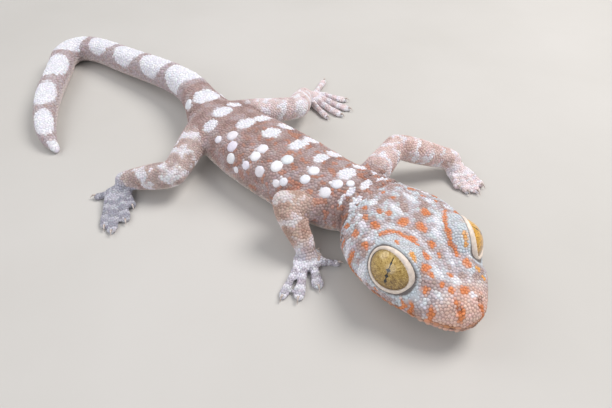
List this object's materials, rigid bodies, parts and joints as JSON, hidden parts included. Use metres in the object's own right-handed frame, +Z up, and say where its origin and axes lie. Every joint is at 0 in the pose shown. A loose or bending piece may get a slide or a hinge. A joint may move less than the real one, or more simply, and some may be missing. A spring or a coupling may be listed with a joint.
{
  "type": "young gecko display model",
  "caption": "Still, life-size model of a young spotted gecko lying on its belly with splayed legs, wide toe pads, large eyes and a banded tail that curls back beside it.",
  "frame": {"origin": "on the floor under the middle of the trunk, on the flat of the belly", "axes": "+X from the hips to the neck, +Y to the animal's left, +Z up from the floor"},
  "size_m": [0.1083, 0.0584, 0.0106],
  "materials": {
    "head_skin": "fine beaded scales, satin",
    "body_skin": "fine scales with larger tubercles, satin",
    "limb_skin": "fine scales, satin",
    "tail_skin": "fine scales in rings, satin",
    "iris": "wet and glossy"
  },
  "bodies": {
    "root": {"eye_left": "iris", "eye_right": "iris", "front_left_forearm": "limb_skin", "front_left_hand": "limb_skin", "front_left_upper_arm": "limb_skin", "front_right_forearm": "limb_skin", "front_right_hand": "limb_skin", "front_right_upper_arm": "limb_skin", "head": "head_skin", "hind_left_foot": "limb_skin", "hind_left_shank": "limb_skin", "hind_left_thigh": "limb_skin", "hind_right_foot": "limb_skin", "hind_right_shank": "limb_skin", "hind_right_thigh": "limb_skin", "neck": "body_skin", "tail_base": "tail_skin", "tail_bend": "tail_skin", "tail_lower": "tail_skin", "tail_middle": "tail_skin", "tail_tip": "tail_skin", "torso": "body_skin"}
  },
  "joints": []
}
